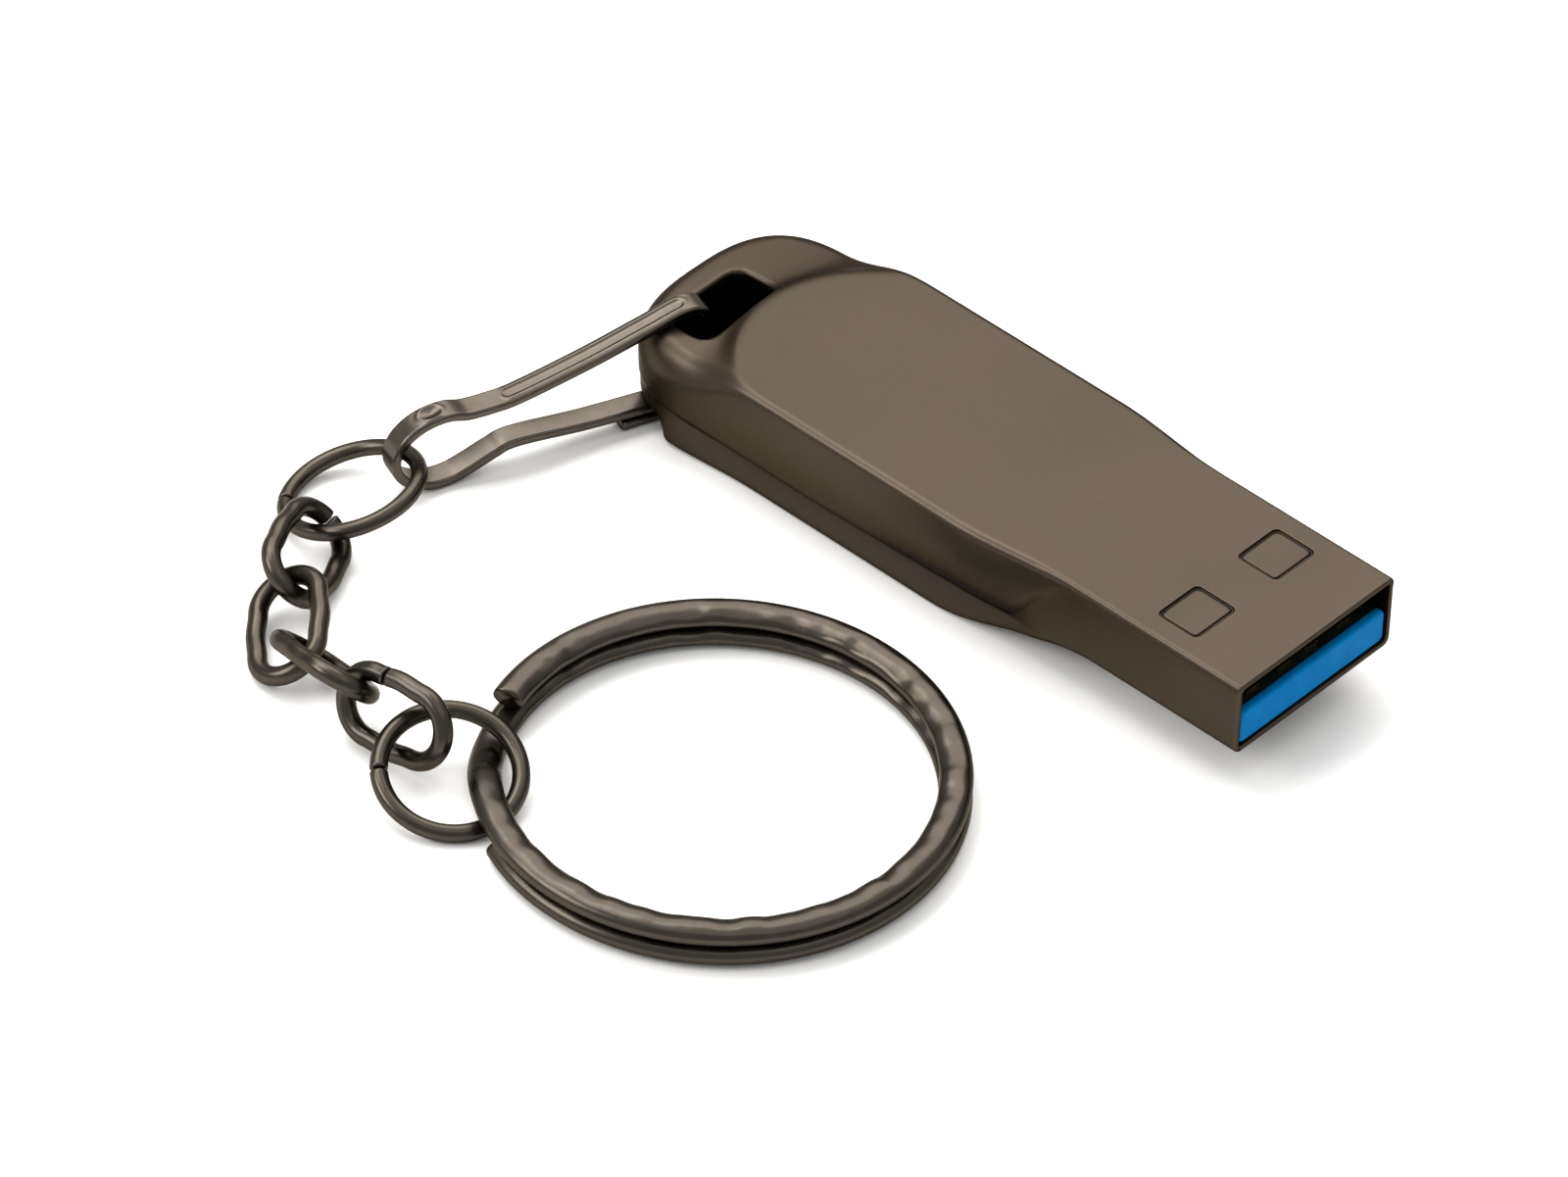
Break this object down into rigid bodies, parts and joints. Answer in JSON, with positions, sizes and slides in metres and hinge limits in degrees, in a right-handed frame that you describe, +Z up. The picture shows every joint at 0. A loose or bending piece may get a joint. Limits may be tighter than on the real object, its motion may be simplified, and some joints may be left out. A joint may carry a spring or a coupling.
{
  "type": "usb flash drive",
  "caption": "USB type A flash drive with a die-cast metal body, a blue insert in the plug, and a key chain: strip clasp, jump rings, oval links and a split ring.",
  "frame": {"origin": "middle of the flat underside that the drive rests on", "axes": "+X out of the USB plug, +Z up through the flat top, +Y to the left side seen along +X"},
  "size_m": [0.0504, 0.0446, 0.0071],
  "materials": {
    "casing_metal": "satin gun-metal plating on a zinc die casting",
    "chain_metal": "polished gun-metal plating on steel wire",
    "insert_blue": "moulded blue plastic, satin",
    "board_green": "solder mask",
    "contact_gold": "gold plating",
    "package_black": "moulded epoxy package",
    "tin_can": "tinned metal can",
    "ceramic_tan": "ceramic chip with tinned ends",
    "foam_black": "closed-cell foam"
  },
  "bodies": {
    "drive": {"housing": "casing_metal", "carrier_tray": "insert_blue", "circuit_board": "board_green", "contact_vbus": "contact_gold", "contact_d_minus": "contact_gold", "contact_d_plus": "contact_gold", "contact_ground": "contact_gold", "contact_ss_rx_minus": "contact_gold", "contact_ss_rx_plus": "contact_gold", "contact_ss_drain": "contact_gold", "contact_ss_tx_minus": "contact_gold", "contact_ss_tx_plus": "contact_gold", "flash_chip": "package_black", "controller_chip": "package_black", "crystal": "tin_can", "capacitor_1": "ceramic_tan", "capacitor_2": "ceramic_tan", "capacitor_3": "ceramic_tan", "capacitor_4": "ceramic_tan", "resistor_1": "package_black", "resistor_2": "package_black", "adhesive_pad": "foam_black"},
    "clasp": {"clasp": "chain_metal"},
    "jump_ring_clasp": {"jump_ring_clasp": "chain_metal"},
    "chain_link_1": {"chain_link_1": "chain_metal"},
    "chain_link_2": {"chain_link_2": "chain_metal"},
    "chain_link_3": {"chain_link_3": "chain_metal"},
    "chain_link_4": {"chain_link_4": "chain_metal"},
    "jump_ring_key": {"jump_ring_key": "chain_metal"},
    "split_ring": {"split_ring": "chain_metal"}
  },
  "joints": [
    {"name": "clasp_swing", "type": "hinge", "parent": "drive", "child": "clasp", "pos_m": [-0.0099, -0.0026, 0.003], "axis": [0, 0, 1], "range_deg": [-60, 6]},
    {"name": "ring_on_clasp", "type": "hinge", "parent": "clasp", "child": "jump_ring_clasp", "pos_m": [-0.01602, -0.01941, 0.00205], "axis": [0.089, 0.2451, -0.9654], "range_deg": [-6, 12]},
    {"name": "link_1_on_ring", "type": "hinge", "parent": "jump_ring_clasp", "child": "chain_link_1", "pos_m": [-0.01553, -0.02539, 0.00149], "axis": [0.9158, 0.2389, 0.3229], "range_deg": [-45, 0]},
    {"name": "link_2_on_link_1", "type": "hinge", "parent": "chain_link_1", "child": "chain_link_2", "pos_m": [-0.01303, -0.03021, 0.00225], "axis": [0.6623, 0.3051, -0.6843], "range_deg": [-30, 0]},
    {"name": "link_3_on_link_2", "type": "hinge", "parent": "chain_link_2", "child": "chain_link_3", "pos_m": [-0.0092, -0.03187, 0.00233], "axis": [-0.643, 0.75, 0.155], "range_deg": [-30, 0]},
    {"name": "link_4_on_link_3", "type": "hinge", "parent": "chain_link_3", "child": "chain_link_4", "pos_m": [-0.00404, -0.03382, 0.00316], "axis": [0.058, 0.7029, -0.7089], "range_deg": [-20, 0]},
    {"name": "key_ring_on_link_4", "type": "hinge", "parent": "chain_link_4", "child": "jump_ring_key", "pos_m": [-0.00148, -0.03421, 0.00105], "axis": [0.9919, 0.035, 0.122], "range_deg": [-6, 12]},
    {"name": "split_ring_on_key_ring", "type": "hinge", "parent": "jump_ring_key", "child": "split_ring", "pos_m": [0.00525, -0.03413, 0.00052], "axis": [0.1169, 0.9905, 0.073], "range_deg": [-30, 0]}
  ]
}
